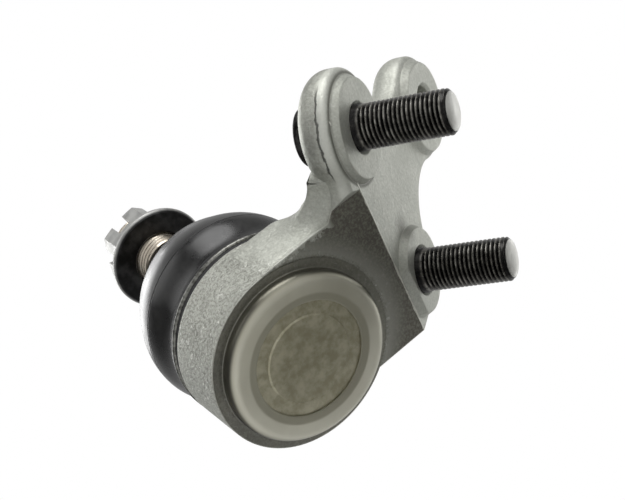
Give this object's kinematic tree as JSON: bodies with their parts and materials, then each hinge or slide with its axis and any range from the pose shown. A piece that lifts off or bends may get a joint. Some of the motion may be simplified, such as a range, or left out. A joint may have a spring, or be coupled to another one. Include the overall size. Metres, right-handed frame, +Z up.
{
  "type": "suspension ball joint",
  "caption": "Lower suspension ball joint: forged bracket with a ball housing and angled mounting plate, press-in studs, ball stud with slotted nut, rubber dust boot.",
  "frame": {"origin": "centre of the ball", "axes": "+Z up the ball stud to its nut, +X from the second mounting stud to the first, +Y from the ball towards the mounting plate"},
  "size_m": [0.0853, 0.1149, 0.1151],
  "materials": {
    "forging": "raw blasted forging, machined round the ball housing",
    "cap_steel": "pressed plate, dull and oily",
    "spring_steel": "hardened and blued",
    "bearing_plastic": "moulded bearing plastic, greased",
    "stud_steel": "ground ball and taper, rolled thread, oiled",
    "nut_steel": "cold-formed, light plating",
    "boot_rubber": "moulded, glossy",
    "ring_wire": "bright drawn wire",
    "black_steel": "black phosphate, oiled"
  },
  "bodies": {
    "bracket": {"bracket_forging": "forging", "end_cap": "cap_steel", "preload_washer": "spring_steel", "lower_seat": "bearing_plastic", "upper_seat": "bearing_plastic", "mounting_stud_1": "black_steel", "mounting_stud_2": "black_steel", "boot_ring": "ring_wire"},
    "boot": {"dust_boot": "boot_rubber"},
    "boot_neck": {"boot_neck_ring": "ring_wire"},
    "ball_stud": {"ball_stud": "stud_steel", "castle_nut": "nut_steel"}
  },
  "joints": [
    {"name": "swing_x", "type": "hinge", "parent": "bracket", "child": "boot", "pos_m": [0, 0, 0], "axis": [1, 0, 0], "range_deg": [-18, 18], "deforming": ["dust_boot"]},
    {"name": "swing_y", "type": "hinge", "parent": "boot", "child": "boot_neck", "pos_m": [0, 0, 0], "axis": [0, 1, 0], "range_deg": [-18, 18]},
    {"name": "stud_spin", "type": "hinge", "parent": "boot_neck", "child": "ball_stud", "pos_m": [0, 0, 0], "axis": [0, 0, 1], "continuous": true}
  ]
}
